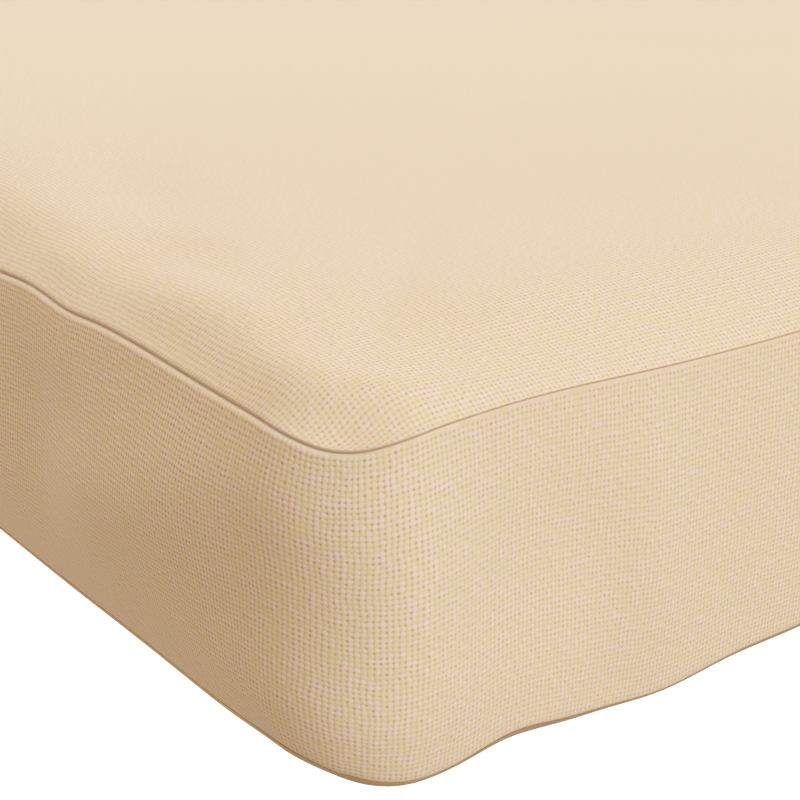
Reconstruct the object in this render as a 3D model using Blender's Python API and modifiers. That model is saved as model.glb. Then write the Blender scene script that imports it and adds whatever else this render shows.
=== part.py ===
"""A boxed bench cushion, lying on its back.

Three pieces that a maker sews together: a crowned top panel, a flat bottom panel and, between
them, the filled body whose sides are the boxing band. Metres, +Z up, X along the bench. The
origin is on the resting plane, under the middle of the cushion.
"""

import math
from collections import namedtuple

import bmesh
import bpy

# Driving dimensions, seam to seam
LENGTH = 1.219
DEPTH = 0.508
BOXING_HEIGHT = 0.076
CORNER_RADIUS = 0.0226

# How the filling shapes the cover
BASE_RISE = 0.0064
RIM_CROWN = 0.011
RIM_WIDTH = 0.070
PILLOW_CROWN = 0.0025
UNDER_RIM_WIDTH = 0.024
UNDER_LIP = 0.0016
UNDER_LIP_WIDTH = 0.0015
SIDE_BULGE = 0.0016
SEAM_LIP = 0.0012
LIP_WIDTH = 0.006
END_DRAWN_IN = 0.003
FRONT_DRAWN_IN = 0.005

# Cloth and the seam groove
CLOTH = 0.002
GAP = 0.0006
SEAM_GROOVE = 0.0008

# Mesh spacing: fine round the front right corner, coarse elsewhere
RIM_STEP = 0.0018
STEP_GROWTH = 1.85
FINE_PITCH = 0.0125
FINE_REACH = 0.150
COARSE_PITCH = 0.030
COARSE_REACH = 0.070
MIDDLE_PITCH = 0.080
BOXING_ROWS = (0.0, 0.03, 0.08, 0.28, 0.5, 0.72, 0.92, 0.97, 1.0)

HALF_LENGTH = LENGTH / 2
HALF_DEPTH = DEPTH / 2
ARC_END = CORNER_RADIUS * math.pi / 4
ARC_GAIN = CORNER_RADIUS - ARC_END
LENGTH_TRAVEL = 2 * (HALF_LENGTH - ARC_GAIN)
DEPTH_TRAVEL = 2 * (HALF_DEPTH - ARC_GAIN)

# Puckers in a seam, near a corner. "along" is measured from the middle of the corner's
# curve: below zero along the long side, above zero along the short side.
Pucker = namedtuple("Pucker", "along lift spread")
TOP_PUCKERS = (
    Pucker(-0.152, -0.0020, 0.019),
    Pucker(-0.107, -0.0014, 0.013),
    Pucker(-0.070, 0.0004, 0.021),
    Pucker(0.000, -0.0026, 0.012),
    Pucker(0.044, 0.0015, 0.029),
    Pucker(0.118, -0.0005, 0.031),
)
BOTTOM_PUCKERS = (
    Pucker(-0.058, 0.0009, 0.038),
    Pucker(0.004, 0.0051, 0.033),
    Pucker(0.006, -0.0036, 0.015),
    Pucker(0.033, -0.0078, 0.025),
    Pucker(0.040, 0.0058, 0.015),
    Pucker(0.086, -0.0042, 0.021),
    Pucker(0.126, -0.0017, 0.023),
)
PUCKER_REACH = 0.030

# Upright folds pressed into or standing out of the boxing band, near a corner
Fold = namedtuple("Fold", "along height swell spread tall")
BOXING_FOLDS = (
    Fold(-0.072, 0.55, -0.0012, 0.012, 0.34),
    Fold(-0.030, 0.30, 0.0008, 0.018, 0.40),
    Fold(0.050, 0.45, 0.0010, 0.014, 0.50),
    Fold(0.072, 0.50, -0.0012, 0.010, 0.50),
    Fold(0.092, 0.55, 0.0010, 0.010, 0.50),
)

# How strongly each corner is puckered, and how far its puckers are stretched along the seams
CornerMood = namedtuple("CornerMood", "strength stretch")
CORNER_MOODS = {
    (1, -1): CornerMood(1.0, 1.0),
    (-1, -1): CornerMood(0.8, 1.25),
    (1, 1): CornerMood(0.7, 1.4),
    (-1, 1): CornerMood(0.9, 1.1),
}

# Slow rise and fall of a seam along a side
RIPPLE = 0.0006
RIPPLE_LENGTH = 0.31

WOVEN_CREAM = (0.80, 0.68, 0.51, 1.0)
CLOTH_ROUGHNESS = 0.9

Corner = namedtuple("Corner", "side_x side_y along_x along_y")


def clear_scene():
    for obj in list(bpy.data.objects):
        bpy.data.objects.remove(obj, do_unlink=True)


def rows_from_edge(reach, widest):
    """Distances from an edge, close together at the seam and opening out to the widest pitch."""
    marks = [0.0]
    step = RIM_STEP
    while marks[-1] < reach:
        marks.append(marks[-1] + step)
        step = min(step * STEP_GROWTH, widest)
    return marks


def stations(travel):
    """Grid lines along one side, from its fine corner to its coarse one."""
    fine = rows_from_edge(FINE_REACH, FINE_PITCH)
    coarse = [travel - mark for mark in reversed(rows_from_edge(COARSE_REACH, COARSE_PITCH))]
    pieces = math.ceil((coarse[0] - fine[-1]) / MIDDLE_PITCH)
    step = (coarse[0] - fine[-1]) / pieces
    middle = [fine[-1] + step * index for index in range(1, pieces)]
    return fine + middle + coarse


X_STATIONS = [LENGTH_TRAVEL - mark for mark in reversed(stations(LENGTH_TRAVEL))]
Y_STATIONS = stations(DEPTH_TRAVEL)


def nearest_corner(x_station, y_station):
    """The corner that a grid point belongs to, and its distances from it along both sides."""
    side_x = 1 if x_station > LENGTH_TRAVEL / 2 else -1
    side_y = 1 if y_station > DEPTH_TRAVEL / 2 else -1
    along_x = LENGTH_TRAVEL - x_station if side_x > 0 else x_station
    along_y = DEPTH_TRAVEL - y_station if side_y > 0 else y_station
    return Corner(side_x, side_y, along_x, along_y)


def inset_of(along):
    """How far inside its side line a grid line runs, so that the lines meet the corner's curve."""
    return min(along * CORNER_RADIUS / ARC_END, along + ARC_GAIN)


def drawn_in(x, y):
    """Pulls the sides in between the corners."""
    ease_x = (1 - min(abs(x) / HALF_LENGTH, 1) ** 2) ** 2
    ease_y = (1 - min(abs(y) / HALF_DEPTH, 1) ** 2) ** 2
    return (
        x * (1 - END_DRAWN_IN / HALF_LENGTH * ease_y),
        y * (1 - FRONT_DRAWN_IN / HALF_DEPTH * ease_x),
    )


def plan_point(corner, outset=0.0):
    """Where a grid point lies in plan, with square sides and a round corner."""
    near, far = sorted((corner.along_x, corner.along_y))
    if far >= ARC_END:
        inset_x = inset_of(corner.along_x)
        inset_y = inset_of(corner.along_y)
        if corner.along_x > corner.along_y:
            inset_y -= outset
        else:
            inset_x -= outset
    else:
        radius = CORNER_RADIUS - inset_of(near) + outset
        turn = math.pi / 4 * (far - near) / (ARC_END - near)
        angle = math.pi / 4 + math.copysign(turn, corner.along_x - corner.along_y)
        inset_x = CORNER_RADIUS - radius * math.cos(angle)
        inset_y = CORNER_RADIUS - radius * math.sin(angle)
    return corner.side_x * (HALF_LENGTH - inset_x), corner.side_y * (HALF_DEPTH - inset_y)


def rounded_inset(x, y):
    """Distance inside the seam outline, along curves that grow rounder towards the middle."""
    from_end = HALF_LENGTH - abs(x)
    from_front = HALF_DEPTH - abs(y)
    nearest = min(from_end, from_front)
    if max(from_end, from_front) >= CORNER_RADIUS + 2 * nearest:
        return nearest
    # The inset d solves (a + 2d)^2 + (b + 2d)^2 = (r + d)^2, a circle tangent to both side lines
    a = CORNER_RADIUS - from_end
    b = CORNER_RADIUS - from_front
    half_slope = 2 * (a + b) - CORNER_RADIUS
    constant = a * a + b * b - CORNER_RADIUS**2
    return max((math.sqrt(max(half_slope**2 - 7 * constant, 0)) - half_slope) / 7, 0)


def seam_position(corner):
    """Signed distance along the seam from the corner's middle, smooth across the corner."""
    reach = math.hypot(corner.along_x, corner.along_y, RIM_STEP)
    return (corner.along_y**2 - corner.along_x**2) / reach


def seam_wave(corner, puckers):
    """Rise of a seam above its level line."""
    mood = CORNER_MOODS[corner.side_x, corner.side_y]
    position = seam_position(corner) / mood.stretch
    lift = sum(
        pucker.lift * math.exp(-(((position - pucker.along) / pucker.spread) ** 2))
        for pucker in puckers
    )
    away = min(abs(position) / FINE_REACH, 1) ** 2
    phase = corner.side_x * corner.side_y + 2 * corner.side_y
    ripple = RIPPLE * away * math.sin(2 * math.pi * position / RIPPLE_LENGTH + phase)
    return lift * mood.strength + ripple * (1 - middle_share(corner))


def middle_share(corner):
    """1 at the middle of a side and 0 near its corners, so that two corners' waves join."""
    share_x = corner.along_x / (LENGTH_TRAVEL / 2)
    share_y = corner.along_y / (DEPTH_TRAVEL / 2)
    return max(share_x**4, share_y**4)


def fade_inwards(inset):
    return math.exp(-inset / PUCKER_REACH)


def crown_point(x_station, y_station):
    """A point on the outer face of the top panel."""
    corner = nearest_corner(x_station, y_station)
    x, y = plan_point(corner)
    inset = rounded_inset(x, y)
    edge = 1 - min(inset / RIM_WIDTH, 1)
    rim = RIM_CROWN * math.sqrt(1 - edge**2)
    pillow = PILLOW_CROWN * (1 - (x / HALF_LENGTH) ** 2) * (1 - (y / HALF_DEPTH) ** 2)
    wave = seam_wave(corner, TOP_PUCKERS) * fade_inwards(inset)
    return (*drawn_in(x, y), BASE_RISE + BOXING_HEIGHT + rim + pillow + wave)


def base_point(x_station, y_station):
    """A point on the outer face of the bottom panel, which is flat inside its rim.

    The rim's curves are round at the seam and square where they meet the flat.
    """
    corner = nearest_corner(x_station, y_station)
    x, y = plan_point(corner)
    inset = inset_of(min(corner.along_x, corner.along_y))
    edge = 1 - min(inset / UNDER_RIM_WIDTH, 1)
    lip = UNDER_LIP * math.exp(-inset / UNDER_LIP_WIDTH)
    rise = BASE_RISE - UNDER_LIP + seam_wave(corner, BOTTOM_PUCKERS)
    return (*drawn_in(x, y), (rise + lip) * edge**2)


def boxing_point(x_station, y_station, share):
    """A point on the boxing band, from its bottom seam at 0 to its top seam at 1."""
    corner = nearest_corner(x_station, y_station)
    bottom = BASE_RISE + seam_wave(corner, BOTTOM_PUCKERS) + SEAM_GROOVE
    top = BASE_RISE + BOXING_HEIGHT + seam_wave(corner, TOP_PUCKERS) - SEAM_GROOVE
    to_seam = min(share, 1 - share) * BOXING_HEIGHT
    lip = SEAM_LIP * (1 - max(1 - to_seam / LIP_WIDTH, 0) ** 2)
    belly = SIDE_BULGE * 4 * share * (1 - share)
    mood = CORNER_MOODS[corner.side_x, corner.side_y]
    position = seam_position(corner) / mood.stretch
    folds = sum(
        fold.swell
        * math.exp(-(((position - fold.along) / fold.spread) ** 2))
        * math.exp(-(((share - fold.height) / fold.tall) ** 2))
        for fold in BOXING_FOLDS
    )
    swell = lip + belly + folds * mood.strength * 4 * share * (1 - share)
    x, y = drawn_in(*plan_point(corner, swell))
    return x, y, bottom + (top - bottom) * share


def add_object(bm, name, material):
    """Makes a named object of a bmesh, smooth shaded, in the cushion's collection.

    Every cell is cut along its shorter diagonal, so that faces a hair apart bend alike.
    """
    bmesh.ops.triangulate(bm, faces=bm.faces, quad_method="SHORT_EDGE")
    bm.normal_update()
    mesh = bpy.data.meshes.new(name)
    bm.to_mesh(mesh)
    bm.free()
    mesh.materials.append(material)
    mesh.shade_smooth()
    obj = bpy.data.objects.new(name, mesh)
    cushion.objects.link(obj)
    return obj


def sheet_of(point_at, faces_down):
    """An open sheet: a grid whose crossings are moved on to a surface."""
    columns = len(X_STATIONS) - 1
    rows = len(Y_STATIONS) - 1
    bm = bmesh.new()
    bmesh.ops.create_grid(bm, x_segments=columns, y_segments=rows, size=0.5)
    for vert in bm.verts:
        column = round((vert.co.x + 0.5) * columns)
        row = round((vert.co.y + 0.5) * rows)
        vert.co = point_at(X_STATIONS[column], Y_STATIONS[row])
    if faces_down:
        bmesh.ops.reverse_faces(bm, faces=bm.faces)
    bm.normal_update()
    return bm


def add_panel(name, point_at, faces_down, material):
    """A panel of cloth: its outer face, given its thickness towards the filling."""
    panel = add_object(sheet_of(point_at, faces_down), name, material)
    thickness = panel.modifiers.new("cloth thickness", "SOLIDIFY")
    thickness.thickness = CLOTH
    thickness.offset = -1
    return panel


def under_panel(point_at, faces_down):
    """The filling's face under a panel, by column and row: inside the cloth by its thickness."""
    bm = sheet_of(point_at, faces_down)
    columns = len(X_STATIONS)
    rows = len(Y_STATIONS)
    groove = SEAM_GROOVE if faces_down else -SEAM_GROOVE
    places = {}
    for index, vert in enumerate(bm.verts):
        row, column = divmod(index, columns)
        place = vert.co - vert.normal * (CLOTH + GAP)
        if row in (0, rows - 1) or column in (0, columns - 1):
            place.z += groove
        places[column, row] = place
    bm.free()
    return places


def loop_cut_box(columns, rows, layers):
    """A box of unit cells, made of one cube by cutting loops across its three directions."""
    bm = bmesh.new()
    bmesh.ops.create_cube(bm, size=1)
    for axis, cells in enumerate((columns, rows, layers)):
        lengthwise = [
            edge
            for edge in bm.edges
            if abs(edge.verts[0].co[axis] - edge.verts[1].co[axis]) > 0.5
        ]
        bmesh.ops.subdivide_edges(bm, edges=lengthwise, cuts=cells - 1, use_grid_fill=True)
    for vert in bm.verts:
        vert.co = [(co + 0.5) * cells for co, cells in zip(vert.co, (columns, rows, layers))]
    return bm


def add_filled_body(name, material):
    """The filled body: caps just under both panels, joined by the boxing band."""
    top = under_panel(crown_point, faces_down=False)
    bottom = under_panel(base_point, faces_down=True)
    layers = len(BOXING_ROWS) + 1
    bm = loop_cut_box(len(X_STATIONS) - 1, len(Y_STATIONS) - 1, layers)
    for vert in bm.verts:
        column, row, layer = (round(co) for co in vert.co)
        if layer == 0:
            vert.co = bottom[column, row]
        elif layer == layers:
            vert.co = top[column, row]
        else:
            share = BOXING_ROWS[layer - 1]
            vert.co = boxing_point(X_STATIONS[column], Y_STATIONS[row], share)
    return add_object(bm, name, material)


def woven_material(name):
    material = bpy.data.materials.new(name)
    material.use_nodes = True
    shader = material.node_tree.nodes["Principled BSDF"]
    shader.inputs["Base Color"].default_value = WOVEN_CREAM
    shader.inputs["Roughness"].default_value = CLOTH_ROUGHNESS
    shader.inputs["Metallic"].default_value = 0.0
    return material


clear_scene()
cushion = bpy.data.collections.new("bench cushion")
bpy.context.scene.collection.children.link(cushion)

add_panel("top_panel", crown_point, False, woven_material("top panel cloth"))
add_panel("bottom_panel", base_point, True, woven_material("bottom panel cloth"))
add_filled_body("boxed_body", woven_material("boxing cloth"))
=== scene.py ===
"""The looks of a boxed bench cushion: spun polyester canvas over a firm filling.

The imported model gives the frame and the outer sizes. Each piece of the cover is laid out on the
same grid of stations: a rectangle of cloth whose lines run parallel to the sides and bend round
the corners. The grid is close at the seams and round the front right corner, and coarse elsewhere.
"""

import logging
import math
from collections.abc import Callable
from dataclasses import dataclass, field
from enum import Enum
from functools import partial
from typing import Any

import bmesh
import bpy
import numpy as np
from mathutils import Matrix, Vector


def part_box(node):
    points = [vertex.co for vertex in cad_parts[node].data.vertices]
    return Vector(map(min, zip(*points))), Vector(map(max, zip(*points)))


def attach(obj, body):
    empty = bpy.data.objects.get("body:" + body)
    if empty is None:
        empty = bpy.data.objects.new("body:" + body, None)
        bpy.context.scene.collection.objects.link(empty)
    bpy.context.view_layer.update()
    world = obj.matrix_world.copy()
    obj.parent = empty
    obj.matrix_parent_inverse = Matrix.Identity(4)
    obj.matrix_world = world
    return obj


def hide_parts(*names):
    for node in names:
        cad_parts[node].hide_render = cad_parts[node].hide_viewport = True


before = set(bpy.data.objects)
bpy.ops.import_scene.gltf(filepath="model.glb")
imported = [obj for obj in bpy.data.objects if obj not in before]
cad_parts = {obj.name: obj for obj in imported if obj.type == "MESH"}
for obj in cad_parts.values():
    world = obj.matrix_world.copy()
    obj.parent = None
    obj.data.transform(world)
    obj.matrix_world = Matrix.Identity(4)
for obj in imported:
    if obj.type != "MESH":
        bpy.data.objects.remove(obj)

MM = 0.001
BODY = "root"
UV_NAME = "cloth"
SEAM_NAME = "seam_distance"
# Carries the painted highlight on the lip of the boxing.
LIP_HIGHLIGHT_NAME = "painted_lip_highlight"
SLACK_NAME = "slackness"
SHADE_NAME = "floor_shade"
HALF = (0.5, 0.5, 0.5)
TOUCH = 1e-9
Socket = bpy.types.NodeSocket

log = logging.getLogger("bench cushion")


def ease(share: np.ndarray) -> np.ndarray:
    """Lets shares leave 0 and reach 1 softly, and holds those outside."""
    held = np.clip(share, 0, 1)
    return held**2 * (3 - 2 * held)


def bell(values: np.ndarray, middle: float | np.ndarray, spread: float) -> np.ndarray:
    """Gives 1 at the middle, and less and less beyond the spread."""
    return np.exp(-(((values - middle) / spread) ** 2))


def linear_colour(code: str) -> tuple[float, float, float, float]:
    """Turns an sRGB hex colour into linear light.

    Args:
        code: Six hex digits after a hash, such as "#e8d8c0".

    Returns:
        Linear red, green and blue, and an alpha of 1.
    """
    channels = [int(code[start : start + 2], 16) / 255 for start in (1, 3, 5)]
    red, green, blue = (
        value / 12.92 if value <= 0.04045 else ((value + 0.055) / 1.055) ** 2.4
        for value in channels
    )
    return red, green, blue, 1.0


def add_node(
    tree: bpy.types.NodeTree,
    kind: str,
    inputs: dict[int | str, Any],
    output: int | str = 0,
    **settings: Any,
) -> Socket:
    """Adds a shader node with its settings, values and links.

    Args:
        tree: The node tree that gets the node.
        kind: The node's type, without the leading "ShaderNode".
        inputs: For each input, by name or number, a value or the socket that feeds it.
        output: The name or number of the wanted output.
        settings: Properties of the node itself.

    Returns:
        The wanted output of the new node.
    """
    node = tree.nodes.new("ShaderNode" + kind)
    for name, value in settings.items():
        setattr(node, name, value)
    for key, value in inputs.items():
        if isinstance(value, Socket):
            tree.links.new(value, node.inputs[key])
        else:
            node.inputs[key].default_value = value
    return node.outputs[output]


@dataclass(frozen=True)
class CanvasWeave:
    """Plain-woven canvas of spun, solution-dyed polyester.

    To the eye: matt, with a soft bloom at a slant, small round squares of yarn in a strict grid, an
    ochre pin-prick of shade where four yarns meet, and yarns that differ a little in tint. The
    cloth is slack beside the seams and drawn tight on the crown, where the pits nearly close.
    """

    name: str
    along_pitch: float = 1.145 * MM
    upright_pitch: float = 1.203 * MM
    wander: float = 0.8
    wander_length: float = 7 * MM
    wander_roughness: float = 0.6
    tint_run_along: float = 0.30
    tint_run_upright: float = 0.45
    tint_step: float = 1.7
    tint_layers: tuple[float, float] = (3.1, 7.7)
    speck_share: float = 0.72
    yarn_tints: tuple[tuple[float, str], ...] = (
        (0.00, "#e2d2ac"),
        (0.30, "#e4d1b0"),
        (0.50, "#e5d2b4"),
        (0.70, "#e7d3b8"),
        (1.00, "#e9d4c2"),
    )
    pit_colour: str = "#ae8818"
    warm_pit_colour: str = "#b88434"
    warm_rows: tuple[float, float] = (0.60, 0.66)
    pit_run: float = 0.17
    pit_row_step: float = 1.3
    palest_row: float = 0.7
    palest_pit: float = 0.15
    pit_depth: float = 0.76
    pit_length: float = 1.5
    pit_narrowness: float = 1.7
    groove_narrowness: float = 3.0
    row_groove: float = 0.12
    column_groove: float = 0.17
    mean_shade: float = 0.15
    smooth_lip: float = 1.2 * MM
    # Painted shade in the seam's crease: its colour, how far it reaches and how dark it gets.
    crease_shade_colour: str = "#bf8638"
    crease_shade_width: float = 0.45 * MM
    crease_shade_depth: float = 0.34
    # Painted shade under the rim of the bottom panel.
    floor_shade_colour: str = "#ac8550"
    # Painted highlight on the lip of the boxing, just below the top seam.
    lip_highlight_colour: str = "#fff5df"
    relief: float = 0.07 * MM
    flank: float = 0.05
    roughness: float = 0.92
    refraction: float = 1.5
    gloss: float = 0.15
    sheen_weight: float = 0.35
    sheen_roughness: float = 0.45

    def material(self) -> bpy.types.Material:
        """Builds the cloth's material.

        Returns:
            The material.
        """
        material = bpy.data.materials.new(self.name)
        material.use_nodes = True
        shader = material.node_tree.nodes["Principled BSDF"]
        shader.inputs["Roughness"].default_value = self.roughness
        shader.inputs["IOR"].default_value = self.refraction
        shader.inputs["Specular IOR Level"].default_value = self.gloss
        shader.inputs["Sheen Weight"].default_value = self.sheen_weight
        shader.inputs["Sheen Roughness"].default_value = self.sheen_roughness
        nodes = WeaveNodes(self, material.node_tree)
        material.node_tree.links.new(nodes.colour(), shader.inputs["Base Color"])
        material.node_tree.links.new(nodes.normal(), shader.inputs["Normal"])
        return material


@dataclass
class WeaveNodes:
    """The nodes of one cloth material, on the piece's own UV map, which is in metres of cloth.

    "place" counts yarns along both directions, and "cell" gives whole counts. "hollows" are 1
    between two yarns and 0 on the crest. "on_top" is 0 and 1 by turns, like a chequer, for the
    yarn that shows. "pit_cell" numbers the pits, and "row_noise" keeps along a row of them.
    "slack" and "distance" come from the piece: how slack its cloth lies, and how far the seam is.
    "add" adds a node to the tree.
    """

    weave: CanvasWeave
    tree: bpy.types.NodeTree
    place: Socket = field(init=False)
    cell: Socket = field(init=False)
    hollows: tuple[Socket, Socket] = field(init=False)
    on_top: Socket = field(init=False)
    pit_cell: Socket = field(init=False)
    row_noise: Socket = field(init=False)
    slack: Socket = field(init=False)
    distance: Socket = field(init=False)
    add: Callable[..., Socket] = field(init=False)

    def __post_init__(self) -> None:
        """Counts the yarns and the pits, and reads what the piece tells."""
        self.add = partial(add_node, self.tree)
        weave = self.weave
        self.slack = self.add("Attribute", {}, "Fac", attribute_name=SLACK_NAME)
        self.distance = self.add("Attribute", {}, "Fac", attribute_name=SEAM_NAME)
        self.place = self.count_yarns()
        self.cell = self.add("VectorMath", {0: self.place}, operation="FLOOR")
        turn = self.add("VectorMath", {0: self.place, "Scale": 2 * math.pi}, operation="SCALE")
        wave = self.add("VectorMath", {0: turn}, operation="COSINE")
        low = self.add("VectorMath", {0: wave, 1: HALF, 2: HALF}, operation="MULTIPLY_ADD")
        across = self.add("SeparateXYZ", {0: low})
        self.hollows = (across, across.node.outputs[1])
        total = self.add("VectorMath", {0: self.cell, 1: (1, 1, 0)}, "Value", operation="DOT_PRODUCT")
        self.on_top = self.add("Math", {0: total, 1: 2.0}, operation="FLOORED_MODULO")
        moved = self.add("VectorMath", {0: self.place, 1: (0.5, 0.5, 0)}, operation="ADD")
        self.pit_cell = self.add("VectorMath", {0: moved}, operation="FLOOR")
        steps = (weave.pit_run, weave.pit_row_step, 0)
        run = self.add("VectorMath", {0: self.pit_cell, 1: steps}, operation="MULTIPLY")
        settings = {"Vector": run, "Scale": 1.0, "Detail": 1.0}
        self.row_noise = self.add("TexNoise", settings, "Fac", noise_dimensions="2D")

    def count_yarns(self) -> Socket:
        """Counts yarns along both directions of the cloth, with the slight wander of real ones.

        Returns:
            A point whose x and y are running yarn counts.
        """
        weave = self.weave
        cloth = self.add("UVMap", {}, uv_map=UV_NAME)
        drift = self.add(
            "TexNoise",
            {
                "Vector": cloth,
                "Scale": 1 / weave.wander_length,
                "Detail": 2.0,
                "Roughness": weave.wander_roughness,
            },
            "Color",
            noise_dimensions="2D",
        )
        centred = self.add("VectorMath", {0: drift, 1: HALF}, operation="SUBTRACT")
        counts = (1 / weave.along_pitch, 1 / weave.upright_pitch, 0)
        counted = self.add("VectorMath", {0: cloth, 1: counts}, operation="MULTIPLY")
        wander = (weave.wander, weave.wander, 0)
        moved = {0: centred, 1: wander, 2: counted}
        return self.add("VectorMath", moved, operation="MULTIPLY_ADD")

    def tint(self) -> Socket:
        """Gives each yarn its own tint, which changes slowly along it, and more in slack cloth.

        Returns:
            The colour of the yarn that shows.
        """
        weave = self.weave
        seen = []
        across_yarns = ((weave.tint_step, 0, 0), (0, weave.tint_step, 0))
        along_yarns = ((0, weave.tint_run_along, 0), (weave.tint_run_upright, 0, 0))
        for across, along, layer in zip(across_yarns, along_yarns, weave.tint_layers):
            inputs = {0: self.place, 1: along, 2: (0, 0, layer)}
            run = self.add("VectorMath", inputs, operation="MULTIPLY_ADD")
            inputs = {0: self.cell, 1: across, 2: run}
            point = self.add("VectorMath", inputs, operation="MULTIPLY_ADD")
            inputs = {"Vector": point, "Scale": 1.0, "Detail": 1.0}
            seen.append(self.add("TexNoise", inputs, "Fac"))
        chosen = self.add("Mix", {0: self.on_top, 2: seen[0], 3: seen[1]}, data_type="FLOAT")
        speck = self.add("TexWhiteNoise", {"Vector": self.cell}, "Value", noise_dimensions="2D")
        inputs = {0: weave.speck_share, 2: chosen, 3: speck}
        mixed = self.add("Mix", inputs, data_type="FLOAT")
        spread = self.add("MapRange", {0: mixed, 1: 0.25, 2: 0.75, 3: -0.5, 4: 0.5})
        inputs = {0: spread, 1: self.slack, 2: 0.5}
        eased = self.add("Math", inputs, operation="MULTIPLY_ADD")
        tint = self.add("ValToRGB", {0: eased})
        stops = tint.node.color_ramp.elements
        while len(stops) < len(weave.yarn_tints):
            stops.new(1.0)
        for stop, (position, code) in zip(stops, weave.yarn_tints):
            stop.position = position
            stop.color = linear_colour(code)
        return tint

    def shade(self) -> Socket:
        """Finds how much shade the pits and, faintly, the grooves between yarns hold.

        Some pits and some rows of pits are darker than others.

        Returns:
            The shade, from 0 to about 1.
        """
        weave = self.weave
        chance = self.add("TexWhiteNoise", {"Vector": self.pit_cell}, "Value", noise_dimensions="2D")
        row_range = {0: self.row_noise, 1: 0.3, 2: 0.7, 3: weave.palest_row, 4: 1.0}
        row_share = self.add("MapRange", row_range)
        own_share = self.add("MapRange", {0: chance, 3: weave.palest_pit, 4: 1.0})
        shade = self.add("Math", {0: row_share, 1: own_share}, operation="MULTIPLY")
        powers = (weave.pit_length, weave.pit_narrowness)
        for hollow, power in zip(self.hollows, powers):
            narrowed = self.add("Math", {0: hollow, 1: power}, operation="POWER")
            shade = self.add("Math", {0: shade, 1: narrowed}, operation="MULTIPLY")
        shade = self.add("Math", {0: shade, 1: weave.pit_depth}, operation="MULTIPLY")
        for hollow, depth in zip(self.hollows, (weave.column_groove, weave.row_groove)):
            inputs = {0: hollow, 1: weave.groove_narrowness}
            groove = self.add("Math", inputs, operation="POWER")
            inputs = {0: groove, 1: depth, 2: shade}
            shade = self.add("Math", inputs, operation="MULTIPLY_ADD")
        return shade

    def colour(self) -> Socket:
        """Lays pits, painted crease and rim shade, and a painted lip highlight over the yarns' tint.

        The pits nearly close on the tight crown and on the lip of a seam. The crease and the strip
        under the rim are darkened in colour as painted shade, and the taut lip of the boxing is
        lightened in colour as a painted highlight.

        Returns:
            The colour of the whole cloth.
        """
        weave = self.weave
        smooth = {"interpolation_type": "SMOOTHSTEP"}
        lip_range = {0: self.distance, 1: weave.smooth_lip / 2, 2: weave.smooth_lip}
        off_lip = self.add("MapRange", lip_range, **smooth)
        open_share = self.add("Math", {0: self.slack, 1: off_lip}, operation="MULTIPLY")
        inputs = {0: open_share, 2: weave.mean_shade, 3: self.shade()}
        pits = self.add("Mix", inputs, data_type="FLOAT")
        warm = self.add("MapRange", {0: self.row_noise, 1: weave.warm_rows[0], 2: weave.warm_rows[1]})
        pit_colours = {
            0: warm,
            6: linear_colour(weave.pit_colour),
            7: linear_colour(weave.warm_pit_colour),
        }
        pit_colour = self.add("Mix", pit_colours, 2, data_type="RGBA")
        # Painted shade: the cloth's colour darkens towards the crease colour right at the seam.
        crease_range = {0: self.distance, 1: 0.0, 2: weave.crease_shade_width, 3: weave.crease_shade_depth, 4: 0.0}
        crease = self.add("MapRange", crease_range, **smooth)
        # Painted shade under the rim, read from the piece.
        under_rim = self.add("Attribute", {}, "Fac", attribute_name=SHADE_NAME)
        # Painted highlight on the taut lip, read from the piece.
        lip = self.add("Attribute", {}, "Fac", attribute_name=LIP_HIGHLIGHT_NAME)
        colour = self.tint()
        for share, upper in (
            (pits, pit_colour),
            # painted shade in the crease
            (crease, linear_colour(weave.crease_shade_colour)),
            # painted shade under the rim
            (under_rim, linear_colour(weave.floor_shade_colour)),
            # painted highlight on the lip
            (lip, linear_colour(weave.lip_highlight_colour)),
        ):
            colour = self.add("Mix", {0: share, 6: colour, 7: upper}, 2, data_type="RGBA")
        return colour

    def normal(self) -> Socket:
        """Raises the yarn on top of each crossing over the one that dives under it.

        Returns:
            The normal, which stands rounder the slacker the cloth lies.
        """
        ridges = [self.add("Math", {0: 1.0, 1: low}, operation="SUBTRACT") for low in self.hollows]
        mound = self.add("Math", {0: ridges[0], 1: ridges[1]}, operation="MULTIPLY")
        inputs = {0: self.on_top, 2: ridges[0], 3: ridges[1]}
        own = self.add("Mix", inputs, data_type="FLOAT")
        lifted = self.add("Math", {0: own, 1: self.weave.flank}, operation="ADD")
        flank = self.add("Math", {0: lifted}, operation="SQRT")
        height = self.add("Math", {0: mound, 1: flank}, operation="DIVIDE")
        bump = {"Strength": self.slack, "Distance": self.weave.relief, "Height": height}
        return self.add("Bump", bump)


@dataclass(frozen=True)
class StudioSweep:
    """Matt white studio paper: pale, even, with no gloss."""

    name: str = "white studio paper"
    colour: str = "#fcfcfb"
    glow: float = 1.0

    def material(self) -> bpy.types.Material:
        """Builds the paper's material.

        Returns:
            The material.
        """
        material = bpy.data.materials.new(self.name)
        material.use_nodes = True
        shader = material.node_tree.nodes["Principled BSDF"]
        shader.inputs["Base Color"].default_value = linear_colour(self.colour)
        shader.inputs["Roughness"].default_value = 1.0
        shader.inputs["Specular IOR Level"].default_value = 0.0
        shader.inputs["Emission Color"].default_value = linear_colour(self.colour)
        shader.inputs["Emission Strength"].default_value = self.glow
        return material


@dataclass(frozen=True)
class Sides:
    """A size on the cushion's long sides, and the same on its ends."""

    on_long: float | np.ndarray
    on_end: float | np.ndarray


@dataclass(frozen=True)
class Pucker:
    """A dip or rise of a seam, in millimetres.

    "along" is measured from the middle of the corner's curve, below zero along the long side and
    above zero along the short side.
    """

    along: float
    lift: float
    spread: float


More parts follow.
